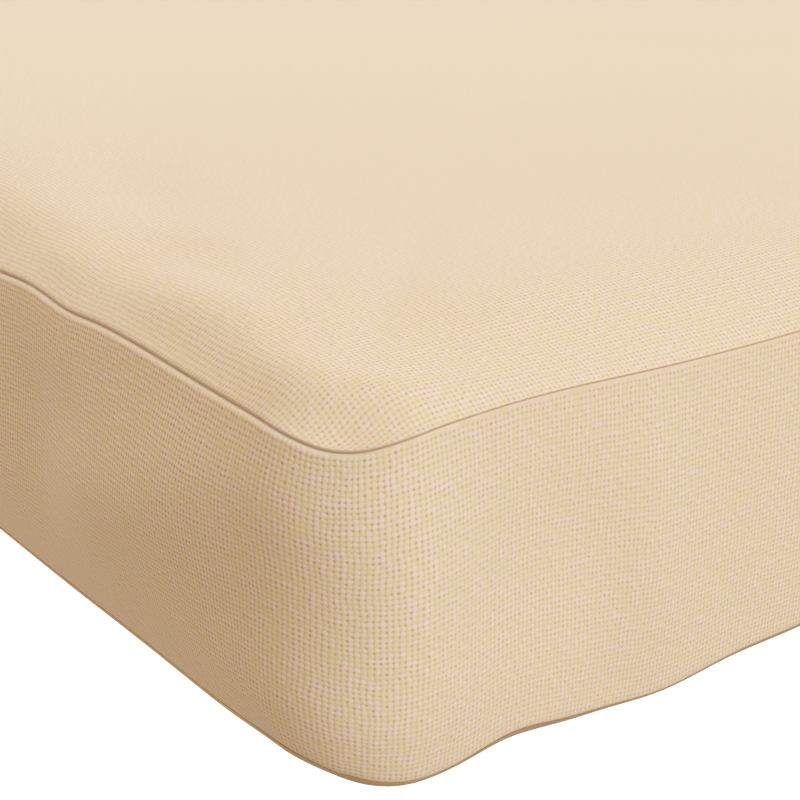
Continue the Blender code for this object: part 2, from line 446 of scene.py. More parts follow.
@dataclass(frozen=True)
class Fold:
    """A fold standing out of the boxing band, or pressed into it, in millimetres.

    "height" and "tall" are shares of the band's height, and "slant" moves the fold along the
    band, in millimetres, from its foot to its head.
    """

    along: float
    height: float
    swell: float
    spread: float
    tall: float
    slant: float = 0.0


@dataclass(frozen=True)
class Dimple:
    """A soft hollow or swelling on the shoulder of the top panel, in millimetres.

    "inward" is measured from the seam towards the middle of the panel.
    """

    along: float
    inward: float
    swell: float
    spread: float
    deep: float


@dataclass(frozen=True)
class CornerMood:
    """How strongly one corner is puckered, and how far its puckers are stretched."""

    side_x: int
    side_y: int
    strength: float
    stretch: float


CORNER_MOODS = (
    CornerMood(1, -1, 1.0, 1.0),
    CornerMood(-1, -1, 0.8, 1.25),
    CornerMood(1, 1, 0.7, 1.4),
    CornerMood(-1, 1, 0.9, 1.1),
)


@dataclass(frozen=True)
class Places:
    """Grid points of the cover, each told by its corner and its travel from it along both sides."""

    side_x: np.ndarray
    side_y: np.ndarray
    along_x: np.ndarray
    along_y: np.ndarray

    @property
    def near(self) -> np.ndarray:
        """The travel from the nearer seam."""
        return np.minimum(self.along_x, self.along_y)

    @property
    def far(self) -> np.ndarray:
        """The travel from the farther seam."""
        return np.maximum(self.along_x, self.along_y)

    def position(self, blunting: float = 1.8 * MM) -> np.ndarray:
        """Gives the signed travel along the seam from the corner's middle.

        Args:
            blunting: How far the change of sign is smoothed, in metres.

        Returns:
            Below zero on the long sides, above zero on the short ones.
        """
        reach = np.sqrt(self.along_x**2 + self.along_y**2 + blunting**2)
        return (self.along_y**2 - self.along_x**2) / reach

    def mood(self, name: str) -> np.ndarray:
        """Looks up one field of the nearest corner's mood.

        Args:
            name: The field's name.

        Returns:
            Its value for every point.
        """
        value = np.ones_like(self.along_x)
        for mood in CORNER_MOODS:
            here = (self.side_x == mood.side_x) & (self.side_y == mood.side_y)
            value[here] = getattr(mood, name)
        return value


@dataclass
class CushionPlan:
    """The outline of the cushion and the stations of its grid, all in metres."""

    length: float
    depth: float
    corner_radius: float = 22.6 * MM
    end_drawn_in: float = 3.0 * MM
    front_drawn_in: float = 5.0 * MM
    soft_start: float = 2.5 * MM
    first_step: float = 0.30 * MM
    step_growth: float = 1.26
    fine_pitch: float = 2.6 * MM
    fine_reach: float = 175 * MM
    coarse_pitch: float = 9.0 * MM
    rim_reach: float = 45 * MM
    middle_pitch: float = 11 * MM
    arc_end: float = field(init=False)
    arc_gain: float = field(init=False)
    travel_x: float = field(init=False)
    travel_y: float = field(init=False)
    columns: np.ndarray = field(init=False)
    rows: np.ndarray = field(init=False)

    def __post_init__(self) -> None:
        """Works out the corner's curve and the grid lines."""
        self.arc_end = self.corner_radius * math.pi / 4
        self.arc_gain = self.corner_radius - self.arc_end
        self.travel_x = self.length - 2 * self.arc_gain
        self.travel_y = self.depth - 2 * self.arc_gain
        self.columns = self.travel_x - self.stations(self.travel_x)[::-1]
        self.rows = self.stations(self.travel_y)

    def rows_from_edge(self, reach: float, widest: float) -> np.ndarray:
        """Spaces grid lines from a seam inwards.

        Args:
            reach: How far the lines go at least.
            widest: The widest pitch.

        Returns:
            Distances from the seam, close together at first and opening out.
        """
        marks = [0.0]
        step = self.first_step
        while marks[-1] < reach:
            marks.append(marks[-1] + step)
            step = min(step * self.step_growth, widest)
        return np.array(marks)

    def stations(self, travel: float) -> np.ndarray:
        """Places the grid lines of one side, from its fine corner to its coarse one.

        Args:
            travel: The side's length along the cloth.

        Returns:
            The lines' distances from the fine corner.
        """
        fine = self.rows_from_edge(self.fine_reach, self.fine_pitch)
        coarse = travel - self.rows_from_edge(self.rim_reach, self.coarse_pitch)[::-1]
        count = math.ceil((coarse[0] - fine[-1]) / self.middle_pitch)
        middle = np.linspace(fine[-1], coarse[0], count + 1)[1:-1]
        return np.concatenate([fine, middle, coarse])

    def places(self, columns: np.ndarray, rows: np.ndarray) -> Places:
        """Tells each grid point by its nearest corner.

        Args:
            columns: Travel of each point along the length.
            rows: Travel of each point along the depth.

        Returns:
            The points.
        """
        side_x = np.where(columns > self.travel_x / 2, 1, -1)
        side_y = np.where(rows > self.travel_y / 2, 1, -1)
        along_x = np.where(side_x > 0, self.travel_x - columns, columns)
        along_y = np.where(side_y > 0, self.travel_y - rows, rows)
        return Places(side_x, side_y, along_x, along_y)

    def travels(self, places: Places) -> tuple[np.ndarray, np.ndarray]:
        """Gives each point's travel along the whole length and the whole depth.

        Args:
            places: The points.

        Returns:
            The columns and rows that they stand on.
        """
        columns = np.where(places.side_x > 0, self.travel_x - places.along_x, places.along_x)
        rows = np.where(places.side_y > 0, self.travel_y - places.along_y, places.along_y)
        return columns, rows

    def inset(self, travel: np.ndarray) -> np.ndarray:
        """Gives how far inside its side line a grid line runs.

        It starts softly, because cloth that curls over a rim rises before it turns inwards.

        Args:
            travel: Distance along the cloth from the seam.

        Returns:
            Distance in plan from the seam.
        """
        start = np.sqrt(travel**2 + self.soft_start**2) - self.soft_start
        end = math.sqrt(self.arc_end**2 + self.soft_start**2) - self.soft_start
        return np.where(travel < self.arc_end, start * self.corner_radius / end, travel + self.arc_gain)

    def outline(self, places: Places, outset: np.ndarray | float) -> tuple[np.ndarray, ...]:
        """Lays points out in plan, with straight sides and round corners.

        Args:
            places: The points.
            outset: How far each one stands out of its own line.

        Returns:
            x and y, and the x and y of the direction that points outwards.
        """
        near = places.near
        far = places.far
        by_front = places.along_x > places.along_y
        outset = outset + np.zeros_like(near)
        inset_x = self.inset(places.along_x) - np.where(by_front, 0, outset)
        inset_y = self.inset(places.along_y) - np.where(by_front, outset, 0)
        radius = self.corner_radius - self.inset(near) + outset
        span = np.maximum(self.arc_end - near, TOUCH)
        turn = np.clip((far - near) / span, 0, 1) * math.pi / 4
        angle = math.pi / 4 + np.where(by_front, turn, -turn)
        rounded = far < self.arc_end
        inset_x = np.where(rounded, self.corner_radius - radius * np.cos(angle), inset_x)
        inset_y = np.where(rounded, self.corner_radius - radius * np.sin(angle), inset_y)
        out_x = np.where(rounded, np.cos(angle), np.where(by_front, 0, 1))
        out_y = np.where(rounded, np.sin(angle), np.where(by_front, 1, 0))
        return (
            places.side_x * (self.length / 2 - inset_x),
            places.side_y * (self.depth / 2 - inset_y),
            places.side_x * out_x,
            places.side_y * out_y,
        )

    def rounded_inset(self, x: np.ndarray, y: np.ndarray) -> np.ndarray:
        """Measures how far points lie inside the outline, along ever rounder curves.

        The inset d solves (a + 2d)^2 + (b + 2d)^2 = (r + d)^2 near a corner, where a and b are how
        far the point lies inside the corner's square of side r.

        Args:
            x: Place along the length.
            y: Place along the depth.

        Returns:
            The insets.
        """
        from_end = self.length / 2 - np.abs(x)
        from_front = self.depth / 2 - np.abs(y)
        nearest = np.minimum(from_end, from_front)
        a = self.corner_radius - from_end
        b = self.corner_radius - from_front
        half_slope = 2 * (a + b) - self.corner_radius
        constant = a**2 + b**2 - self.corner_radius**2
        root = np.sqrt(np.maximum(half_slope**2 - 7 * constant, 0))
        rounded = np.maximum((root - half_slope) / 7, 0)
        straight = np.maximum(from_end, from_front) >= self.corner_radius + 2 * nearest
        return np.where(straight, nearest, rounded)

    def drawn_in(self, x: np.ndarray, y: np.ndarray) -> tuple[np.ndarray, np.ndarray]:
        """Pulls the sides in between the corners.

        Args:
            x: Place along the length.
            y: Place along the depth.

        Returns:
            The new x and y.
        """
        share_x = np.minimum(np.abs(x) / (self.length / 2), 1)
        share_y = np.minimum(np.abs(y) / (self.depth / 2), 1)
        pull_x = self.end_drawn_in / (self.length / 2) * (1 - share_y**2) ** 2
        pull_y = self.front_drawn_in / (self.depth / 2) * (1 - share_x**2) ** 2
        return x * (1 - pull_x), y * (1 - pull_y)

    def perimeter(self, columns: np.ndarray, rows: np.ndarray) -> np.ndarray:
        """Measures travel round the boxing band, starting at the back left corner.

        Args:
            columns: Travel of each point along the length.
            rows: Travel of each point along the depth.

        Returns:
            The distance round, which runs left end, front, right end, back.
        """
        left = self.travel_y - rows
        front = self.travel_y + columns
        right = self.travel_y + self.travel_x + rows
        back = 2 * self.travel_y + 2 * self.travel_x - columns
        at_left = columns <= TOUCH
        at_front = rows <= TOUCH
        at_right = columns >= self.travel_x - TOUCH
        return np.select([at_front, at_left, at_right], [front, left, right], back)

    @property
    def girth(self) -> float:
        """The whole way round the boxing band."""
        return 2 * (self.travel_x + self.travel_y)


@dataclass(frozen=True)
class SeamLine:
    """A seam's rise and fall round the cushion."""

    puckers: tuple[Pucker, ...]
    ripple: float = 0.6 * MM
    ripple_length: float = 310 * MM
    ripple_starts: float = 150 * MM

    def wave(self, plan: CushionPlan, places: Places) -> np.ndarray:
        """Gives the seam's rise above its level line.

        Args:
            plan: The cushion's plan.
            places: The points.

        Returns:
            The rise at each point, in metres.
        """
        position = places.position() / places.mood("stretch")
        lift = np.zeros_like(position)
        for pucker in self.puckers:
            lift += pucker.lift * MM * bell(position, pucker.along * MM, pucker.spread * MM)
        share_x = places.along_x / (plan.travel_x / 2)
        share_y = places.along_y / (plan.travel_y / 2)
        middle = np.maximum(share_x**4, share_y**4)
        growth = np.minimum(np.abs(position) / self.ripple_starts, 1) ** 2
        phase = places.side_x * places.side_y + 2 * places.side_y
        ripple = self.ripple * growth * np.sin(2 * math.pi * position / self.ripple_length + phase)
        return lift * places.mood("strength") + ripple * (1 - middle)


class PanelFace(Enum):
    """The two large faces of the cushion."""

    TOP = "top"
    BOTTOM = "bottom"


@dataclass
class CushionShape:
    """The outer surface that the filling gives the cover, seam to seam."""

    plan: CushionPlan
    base_rise: float = 6.4 * MM
    boxing_height: float = 76 * MM
    rim_crown: float = 11 * MM
    rim_width: Sides = Sides(40 * MM, 46 * MM)
    rim_blend: float = 38 * MM
    rim_power: float = 2.2
    rim_marks: int = 400
    hem: Sides = Sides(0.9 * MM, 0.32 * MM)
    pillow_crown: float = 2.5 * MM
    under_rim_width: Sides = Sides(40 * MM, 17 * MM)
    slack_reach: float = 10 * MM
    tight_reach: float = 100 * MM
    tight_share: float = 0.12
    panel_slack: float = 0.66
    boxing_slack: Sides = Sides(1.0, 0.64)
    rim_shade: Sides = Sides(0.10, 1.6)
    deepest_shade: float = 0.92
    shade_reach: float = 25 * MM
    under_lip: float = 1.6 * MM
    under_lip_width: float = 1.5 * MM
    side_bulge: Sides = Sides(5.2 * MM, 1.2 * MM)
    lip_depth: Sides = Sides(1.1 * MM, 0.25 * MM)
    lip_width: float = 0.9 * MM
    lip_roll: float = 1.25
    lip_roll_height: float = 0.9 * MM
    lip_roll_power: float = 2.6
    pucker_reach: float = 30 * MM
    seam_hold: float = 5 * MM
    seam_gap: float = 0.06 * MM
    top_seam: SeamLine = SeamLine(
        (
            Pucker(-152, -2.0, 19),
            Pucker(-107, -1.4, 13),
            Pucker(-70, 0.4, 21),
            Pucker(0, -2.6, 12),
            Pucker(44, 1.5, 29),
            Pucker(118, -0.5, 31),
        )
    )
    bottom_seam: SeamLine = SeamLine(
        (
            Pucker(-62, 1.8, 46),
            Pucker(4, 5.1, 33),
            Pucker(6, -3.6, 15),
            Pucker(33, -7.8, 25),
            Pucker(40, 5.8, 15),
            Pucker(70, 0.6, 70),
            Pucker(86, -4.2, 21),
            Pucker(126, -1.7, 23),
        )
    )
    folds: tuple[Fold, ...] = (
        Fold(-117, 0.55, -1.2, 26, 0.32),
        Fold(-108, 0.70, -1.1, 26, 0.16),
        Fold(-72, 0.55, 1.1, 26, 0.16),
        Fold(-72, 0.55, 1.2, 26, 0.32),
        Fold(-54, 0.70, 1.5, 26, 0.32),
        Fold(-45, 0.70, 1.3, 15, 0.16),
        Fold(-36, 0.85, 1.4, 26, 0.16),
        Fold(-27, 0.40, -0.8, 26, 0.16),
        Fold(-18, 0.85, 1.5, 26, 0.16),
        Fold(-9, 0.55, -1.5, 15, 0.32),
        Fold(0, 0.10, 1.4, 26, 0.16),
        Fold(9, 0.10, 1.3, 26, 0.32),
        Fold(18, 0.55, 1.3, 15, 0.32),
        Fold(54, 0.55, -1.4, 26, 0.32),
        Fold(78, 0.50, 2.0, 11, 0.50),
        Fold(-123, 0.70, -1.5, 13, 0.34, -15),
        Fold(-94, 0.40, 1.4, 16, 0.30),
    )
    dimples: tuple[Dimple, ...] = (
        Dimple(-160, 16, 1.2, 28, 8),
        Dimple(-130, 40, -2.0, 34, 17),
        Dimple(-120, 9, 1.1, 16, 6),
        Dimple(-90, 26, -1.1, 28, 11),
        Dimple(-70, 9, 1.1, 28, 6),
        Dimple(-60, 16, 1.9, 28, 8),
        Dimple(-10, 9, 2.5, 28, 6),
        Dimple(0, 4, 2.0, 28, 5),
        Dimple(-3, 4, 2.3, 14, 5),
        Dimple(8, 5, 0.8, 9, 5),
        Dimple(0, 16, 1.8, 16, 8),
        Dimple(50, 16, -1.2, 28, 8),
    )
    press: "FillingPress | None" = None

    def panel_slackness(self, places: Places) -> np.ndarray:
        """Gives how slack a panel's cloth lies: most at its seams, least on the tight crown."""
        tight = ease((places.near - self.slack_reach) / (self.tight_reach - self.slack_reach))
        return self.panel_slack + (self.tight_share - self.panel_slack) * tight

    def floor_shade(self, places: Places) -> np.ndarray:
        """Gives how deep the shade under the rim is, which is deeper under the ends."""
        deepest = np.minimum(self.between_sides(places, self.rim_shade), self.deepest_shade)
        return deepest * np.exp(-places.near / self.shade_reach)

    def lip(self, places: Places) -> np.ndarray:
        """Gives how deep the seam is sunk at each point."""
        return self.between_sides(places, self.lip_depth)

    def lip_at(self, places: Places, travel: np.ndarray) -> np.ndarray:
        """Gives how far cloth swells out beside a seam, which holds it in.

        Args:
            places: The points.
            travel: Their distances from the seam along the cloth.

        Returns:
            The distances outwards.
        """
        return self.lip(places) * (1 - np.exp(-travel / self.lip_width))

    def between_sides(self, places: Places, size: Sides) -> np.ndarray:
        """Blends a size of the long sides into that of the ends round each corner."""
        turn = ease(places.position() / self.rim_blend * 0.5 + 0.5)
        return size.on_long + (size.on_end - size.on_long) * turn

    def rolled_lip(self, places: Places, travel: np.ndarray) -> np.ndarray:
        """Gives how far the boxing stands out below the top seam, over which it rolls.

        Args:
            places: The points.
            travel: Distance down the band from the seam.

        Returns:
            The distance outwards: a quarter of a squared ellipse, which starts level.
        """
        left = 1 - np.minimum(travel / self.lip_roll_height, 1)
        drop = 1 - (1 - left**self.lip_roll_power) ** (1 / self.lip_roll_power)
        return self.lip(places) * (1 - self.lip_roll * drop)

    def rim_rise(self, share: np.ndarray) -> np.ndarray:
        """Gives how far the crown has risen over its rim, from 0 at the seam to 1.

        Args:
            share: Distance from the seam in rim widths.

        Returns:
            The share of the full rise.
        """
        return 1 - (1 - np.minimum(share, 1)) ** self.rim_power

    def hem_rise(self, places: Places) -> np.ndarray:
        """Gives how far the panel has curled up out of the crease of its seam.

        Args:
            places: The points.

        Returns:
            The rise: a quarter circle, which starts upright.
        """
        hem = self.between_sides(places, self.hem)
        left = 1 - np.minimum(places.near / hem, 1)
        return hem * np.sqrt(1 - left**2)

    def crown(self, places: Places) -> np.ndarray:
        """Lays points out on the outer face of the top panel.

        Args:
            places: The points.

        Returns:
            Their coordinates, one row each.
        """
        bare_x, bare_y, _, _ = self.plan.outline(places, 0.0)
        inset = self.plan.rounded_inset(bare_x, bare_y)
        width = self.between_sides(places, self.rim_width)
        fade = np.exp(-inset / width)
        x, y, _, _ = self.plan.outline(places, self.lip_at(places, places.near) * fade)
        rim = self.rim_crown * self.rim_rise(inset / width)
        share_x = 1 - (bare_x / (self.plan.length / 2)) ** 2
        share_y = 1 - (bare_y / (self.plan.depth / 2)) ** 2
        pillow = self.pillow_crown * share_x * share_y
        wave = self.top_seam.wave(self.plan, places) * np.exp(-inset / self.pucker_reach)
        height = self.base_rise + self.boxing_height + rim + pillow + wave + self.hem_rise(places)
        height = height + self.dimple_swell(places, inset)
        points = np.stack([*self.plan.drawn_in(x, y), height], axis=1)
        return points if self.press is None else points + self.press.on_top(places)

    def dimple_swell(self, places: Places, inset: np.ndarray) -> np.ndarray:
        """Adds up the hollows and swellings on the top panel's shoulder.

        Args:
            places: The points.
            inset: How far they lie inside the seam.

        Returns:
            The rise at each point.
        """
        position = places.position() / places.mood("stretch")
        swell = np.zeros_like(position)
        for dimple in self.dimples:
            along = bell(position, dimple.along * MM, dimple.spread * MM)
            inward = bell(inset, dimple.inward * MM, dimple.deep * MM)
            swell += dimple.swell * MM * along * inward
        held = 1 - bell(inset, 0, self.seam_hold)
        return swell * held * places.mood("strength")

    def base(self, places: Places) -> np.ndarray:
        """Lays points out on the outer face of the bottom panel, flat inside its rim.

        Args:
            places: The points.

        Returns:
            Their coordinates, one row each.
        """
        inset = self.plan.inset(places.near)
        width = self.between_sides(places, self.under_rim_width)
        fade = np.exp(-inset / width)
        x, y, _, _ = self.plan.outline(places, self.lip_at(places, places.near) * fade)
        edge = 1 - np.minimum(inset / width, 1)
        lip = self.under_lip * np.exp(-inset / self.under_lip_width)
        wave = self.bottom_seam.wave(self.plan, places)
        height = (self.base_rise - self.under_lip + wave + lip) * edge**2
        return np.stack([*self.plan.drawn_in(x, y), height], axis=1)

    def boxing(self, places: Places, share: np.ndarray) -> np.ndarray:
        """Lays points out on the boxing band.

        Args:
            places: The points, all on the outline.
            share: Height on the band, 0 at its bottom seam and 1 at its top seam.

        Returns:
            Their coordinates, one row each.
        """
        bottom = self.base_rise + self.bottom_seam.wave(self.plan, places) + self.seam_gap
        top = self.base_rise + self.boxing_height - self.seam_gap
        top = top + self.top_seam.wave(self.plan, places)
        belly = 4 * share * (1 - share)
        swell = self.between_sides(places, self.side_bulge) * belly - self.lip(places)
        swell = swell + self.lip_at(places, share * self.boxing_height)
        swell = swell + self.rolled_lip(places, (1 - share) * self.boxing_height)
        swell = swell + self.fold_swell(places, share) * belly
        x, y, _, _ = self.plan.outline(places, swell)
        height = bottom + (top - bottom) * share
        points = np.stack([*self.plan.drawn_in(x, y), height], axis=1)
        return points if self.press is None else points + self.press.on_band(places, share)

    def fold_swell(self, places: Places, share: np.ndarray) -> np.ndarray:
        """Adds up the folds of the boxing band.

        Args:
            places: The points.
            share: Their height on the band.

        Returns:
            How far each point stands out.
        """
        position = places.position() / places.mood("stretch")
        swell = np.zeros_like(position)
        for fold in self.folds:
            middle = (fold.along + fold.slant * (share - 0.5)) * MM
            along = bell(position, middle, fold.spread * MM)
            swell += fold.swell * MM * along * bell(share, fold.height, fold.tall)
        return swell * places.mood("strength")

    def cloth_excess(self, inset: np.ndarray, width: float) -> np.ndarray:
        """Gives how much more cloth than plan lies between the seam and an inset.

        Args:
            inset: Distances in plan from the seam.
            width: The width of the curled rim.

        Returns:
            The extra cloth over the curled rim, in metres.
        """
        marks = width * np.linspace(0, 1, self.rim_marks) ** 2
        rise = self.rim_crown * self.rim_rise(marks / width)
        run = np.concatenate([[0], np.cumsum(np.hypot(np.diff(marks), np.diff(rise)))])
        return np.interp(inset, marks, run - marks)


def finish_mesh(
    bm: bmesh.types.BMesh,
    name: str,
    corners: np.ndarray | None,
    finish: bpy.types.Material | None,
) -> bpy.types.Object:
    """Makes a smooth-shaded object of a bmesh, at the origin, in the scene.

    Args:
        bm: The finished bmesh, which is freed.
        name: The piece's name.
        corners: Coordinates for its vertices, or None to keep those it has.
        finish: The piece's material, or None for a working piece.

    Returns:
        The object.
    """
    mesh = bpy.data.meshes.new(name)
    bm.to_mesh(mesh)
    bm.free()
    if corners is not None:
        mesh.vertices.foreach_set("co", corners.astype(np.float32).ravel())
    if finish is not None:
        mesh.materials.append(finish)
    mesh.shade_smooth()
    mesh.update()
    piece = bpy.data.objects.new(name, mesh)
    bpy.context.scene.collection.objects.link(piece)
    return piece


def lay_cloth(piece: bpy.types.Object, corner_points: np.ndarray) -> None:
    """Writes the piece's UV map, in metres of cloth.

    Args:
        piece: The piece.
        corner_points: One u and v for each corner of each face, in the mesh's order.
    """
    layer = piece.data.uv_layers.new(name=UV_NAME)
    layer.uv.foreach_set("vector", corner_points.astype(np.float32).ravel())


def mark(piece: bpy.types.Object, name: str, values: np.ndarray) -> None:
    """Writes one number for each vertex, for the material to read.

    Args:
        piece: The piece.
        name: The attribute's name.
        values: The numbers, such as distances from the seam in metres.
    """
    attribute = piece.data.attributes.new(name, "FLOAT", "POINT")
    attribute.data.foreach_set("value", values.astype(np.float32))


def corner_vertices(mesh: bpy.types.Mesh) -> np.ndarray:
    """Lists the vertex number at each corner of each face.

    Args:
        mesh: The mesh.

    Returns:
        The numbers, face by face.
    """
    numbers = np.empty(len(mesh.loops), np.int32)
    mesh.loops.foreach_get("vertex_index", numbers)
    return numbers


def box_of_cells(cells: tuple[int, int, int]) -> bmesh.types.BMesh:
    """Cuts a cube into cells by loops across its three directions.

    Args:
        cells: The number of cells along each direction.

    Returns:
        The box, from 0 to 1 along each axis.
    """
    bm = bmesh.new()
    bmesh.ops.create_cube(bm, size=1)
    bmesh.ops.translate(bm, vec=(0.5, 0.5, 0.5), verts=bm.verts)
    for axis, count in enumerate(cells):
        lengthwise = [
            edge
            for edge in bm.edges
            if abs(edge.verts[0].co[axis] - edge.verts[1].co[axis]) > 0.5
        ]
        bmesh.ops.subdivide_edges(bm, edges=lengthwise, cuts=count - 1, use_grid_fill=True)
    return bm


def vertex_places(mesh: bpy.types.Mesh) -> np.ndarray:
    """Lists a mesh's vertex coordinates.

    Args:
        mesh: The mesh.

    Returns:
        The coordinates, one row each.
    """
    flat = np.empty(len(mesh.vertices) * 3, np.float32)
    mesh.vertices.foreach_get("co", flat)
    return flat.reshape(-1, 3).astype(float)


def remove_piece(piece: bpy.types.Object) -> None:
    """Takes a working piece and its mesh away again.

    Args:
        piece: The piece.
    """
    mesh = piece.data
    bpy.data.objects.remove(piece)
    bpy.data.meshes.remove(mesh)


def bell_shares(
    places: np.ndarray, marks: np.ndarray, reach: float, girth: float = math.inf
) -> np.ndarray:
    """Shares each place out among marks along a line, by a soft bell.

    Args:
        places: Places on the line.
        marks: The marks on the line.
        reach: The bell's width.
        girth: The line's length, where it is closed to a ring.

    Returns:
        One row of shares for each place, which add up to 1.
    """
    away = np.abs(places[:, None] - marks[None, :])
    away = np.minimum(away, np.abs(girth - away))
    weight = bell(away, 0, reach)
    return weight / weight.sum(axis=1, keepdims=True)


@dataclass
class FillingPress:
    """The press of the filling against its cover, found by a cloth simulation on a coarse cage.

    The cage is a closed bag with the cushion's shape and a little more cloth. It is held along
    its seams and under its base, and blown up. The moves are kept small, fade out at the seams,
    and count little at the front right corner, whose folds are set one by one.
    """

    shape: CushionShape
    pitch: float = 12 * MM
    layers: int = 6
    pressure: float = 4.0
    extra_cloth: float = 0.02
    last_frame: int = 20
    widest_move: float = 2.0 * MM
    bell: float = 0.75
    seam_fade: float = 9 * MM
    set_reach: float = 300 * MM
    free_reach: float = 560 * MM
    set_share: float = 0.1
    column_marks: np.ndarray = field(init=False)
    row_marks: np.ndarray = field(init=False)
    layer_marks: np.ndarray = field(init=False)
    band_marks: np.ndarray = field(init=False)
    top_moves: np.ndarray = field(init=False)
    band_moves: np.ndarray = field(init=False)

    def simulate(self) -> None:
        """Blows the cage up and keeps how far its top and its boxing have moved."""
        plan = self.shape.plan
        columns = round(plan.travel_x / self.pitch)
        rows = round(plan.travel_y / self.pitch)
        cage = finish_mesh(box_of_cells((columns, rows, self.layers)), "press cage", None, None)
        unit = vertex_places(cage.data)
        column, row, layer = np.rint(unit * (columns, rows, self.layers)).astype(int).T
        self.column_marks = np.linspace(0, plan.travel_x, columns + 1)
        self.row_marks = np.linspace(0, plan.travel_y, rows + 1)
        self.layer_marks = np.linspace(0, 1, self.layers + 1)
        places = plan.places(self.column_marks[column], self.row_marks[row])
        rest = self.shape.boxing(places, self.layer_marks[layer])
        on_top = layer == self.layers
        on_base = layer == 0
        rest[on_top] = self.shape.crown(places)[on_top]
        rest[on_base] = self.shape.base(places)[on_base]
        cage.data.vertices.foreach_set("co", rest.astype(np.float32).ravel())
        cage.data.update()
        sewn = on_base | (on_top & (places.near < TOUCH))
        moves = self.blow_up(cage, np.flatnonzero(sewn)) - rest
        size = np.linalg.norm(moves, axis=1, keepdims=True) + TOUCH
        moves *= self.widest_move * np.tanh(size / self.widest_move) / size
        log.info("simulated press: widest move %.1f mm", size.max() / MM)
        self.top_moves = np.zeros((rows + 1, columns + 1, 3))
        self.top_moves[row[on_top], column[on_top]] = moves[on_top]
        around = plan.perimeter(self.column_marks[column], self.row_marks[row])
        on_band = places.near < TOUCH
        self.band_marks, place = np.unique(np.round(around[on_band], 7), return_inverse=True)
        self.band_moves = np.zeros((self.layers + 1, len(self.band_marks), 3))
        self.band_moves[layer[on_band], place] = moves[on_band]

    def blow_up(self, cage: bpy.types.Object, sewn: np.ndarray) -> np.ndarray:
        """Runs the cloth simulation and takes the cage away.

        Args:
            cage: The closed cage.
            sewn: The numbers of the vertices that are held.

        Returns:
            Where the vertices end up, one row each.
        """
        held = cage.vertex_groups.new(name="sewn")
        held.add(sewn.tolist(), 1.0, "REPLACE")
        cloth = cage.modifiers.new("filling pressure", "CLOTH")
        cloth.settings.vertex_group_mass = held.name
        cloth.settings.use_pressure = True
        cloth.settings.uniform_pressure_force = self.pressure
        cloth.settings.shrink_min = -self.extra_cloth
        cloth.settings.effector_weights.gravity = 0
        scene = bpy.context.scene
        for number in range(1, self.last_frame + 1):
            scene.frame_set(number)
        shown = cage.evaluated_get(bpy.context.evaluated_depsgraph_get())
        ends = vertex_places(shown.data)
        remove_piece(cage)
        scene.frame_set(1)
        return ends

    def freedom(self, places: Places) -> np.ndarray:
        """Gives the share of the moves that counts at each point, far less at the set corner.

        Args:
            places: The points.

        Returns:
            The shares, up to 1.
        """
        column, row = self.shape.plan.travels(places)
        away = np.maximum(self.shape.plan.travel_x - column, row)
        free = ease((away - self.set_reach) / (self.free_reach - self.set_reach))
        return self.set_share + (1 - self.set_share) * free

    def on_top(self, places: Places) -> np.ndarray:
        """Gives the moves of points on the top panel.

        Args:
            places: The points.

        Returns:
            Their moves, one row each.
        """
        plan = self.shape.plan
        column, row = plan.travels(places)
        columns, at_column = np.unique(column, return_inverse=True)
        rows, at_row = np.unique(row, return_inverse=True)
        reach = self.bell * self.pitch
        across = bell_shares(columns, self.column_marks, reach)
        along = bell_shares(rows, self.row_marks, reach)
        moves = np.einsum("ri,ijk,cj->rck", along, self.top_moves, across, optimize=True)
        held = 1 - bell(places.near, 0, self.seam_fade)
        return moves[at_row, at_column] * (held * self.freedom(places))[:, None]

    def on_band(self, places: Places, share: np.ndarray) -> np.ndarray:
        """Gives the moves of points on the boxing band.

        Args:
            places: The points, all on the outline.
            share: Height on the band, 0 at its bottom seam and 1 at its top seam.

        Returns:
            Their moves, one row each.
        """
        plan = self.shape.plan
        around = plan.perimeter(*plan.travels(places))
        marks, at_mark = np.unique(around, return_inverse=True)
        levels, at_level = np.unique(share, return_inverse=True)
        round_it = bell_shares(marks, self.band_marks, self.bell * self.pitch, plan.girth)
        upright = bell_shares(levels, self.layer_marks, self.bell / self.layers)
        moves = np.einsum("si,ijk,mj->smk", upright, self.band_moves, round_it, optimize=True)
        travel = np.minimum(share, 1 - share) * self.shape.boxing_height
        held = 1 - bell(travel, 0, self.seam_fade)
        return moves[at_level, at_mark] * (held * self.freedom(places))[:, None]


